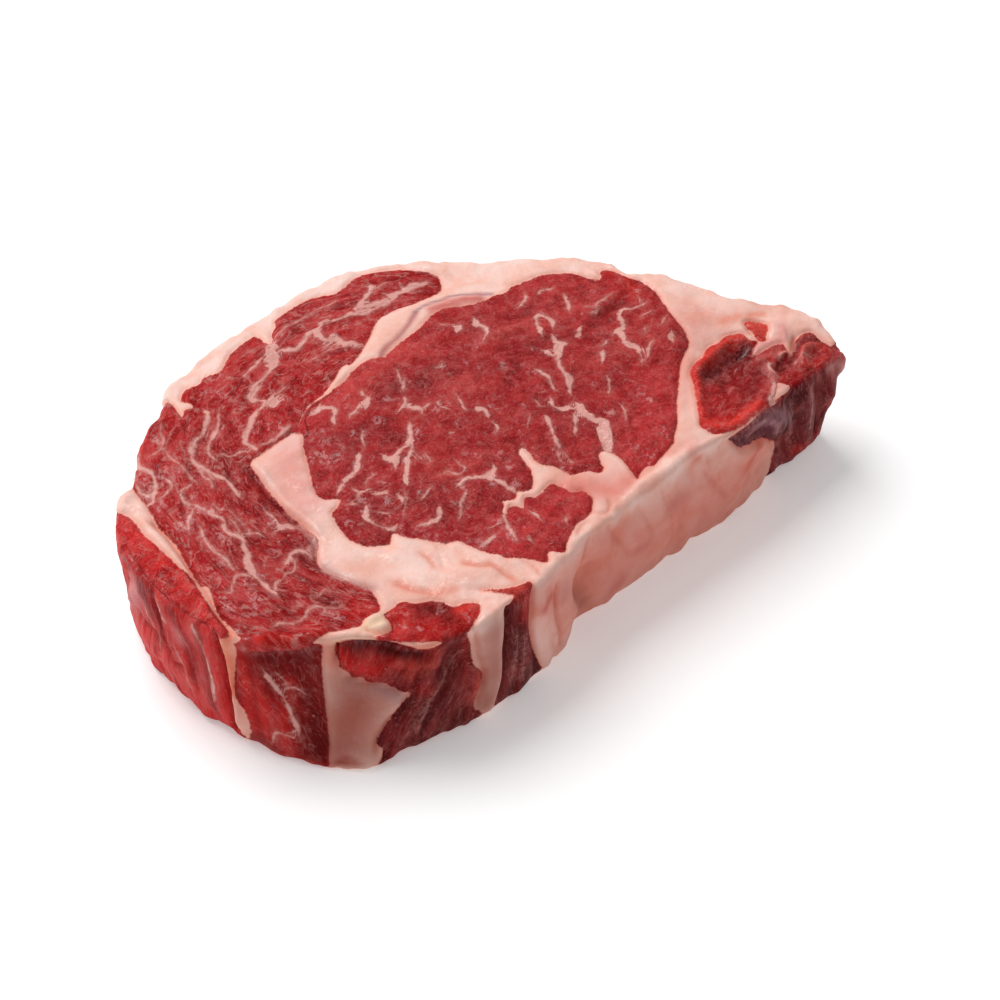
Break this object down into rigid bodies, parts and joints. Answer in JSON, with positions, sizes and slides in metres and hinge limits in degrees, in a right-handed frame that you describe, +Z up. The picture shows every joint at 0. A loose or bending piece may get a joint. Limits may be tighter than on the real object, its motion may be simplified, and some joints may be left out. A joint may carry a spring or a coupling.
{
  "type": "raw ribeye steak",
  "caption": "Thick boneless raw beef steak lying on its cut face: a broad rounded eye and cap of muscle with a narrow tail end and a fat seam.",
  "frame": {"origin": "centre of the steak's plan outline, on the surface it rests on", "axes": "+X along the steak from the broad end to the narrow tail, +Y across it towards the cap's fat rim, +Z up out of the shown cut face"},
  "size_m": [0.1914, 0.125, 0.0379],
  "materials": {
    "raw_beef": "raw beef: moist satin red muscle with off-white marbling, fat seams and a fat rim"
  },
  "bodies": {
    "root": {"ribeye_steak": "raw_beef"}
  },
  "joints": []
}
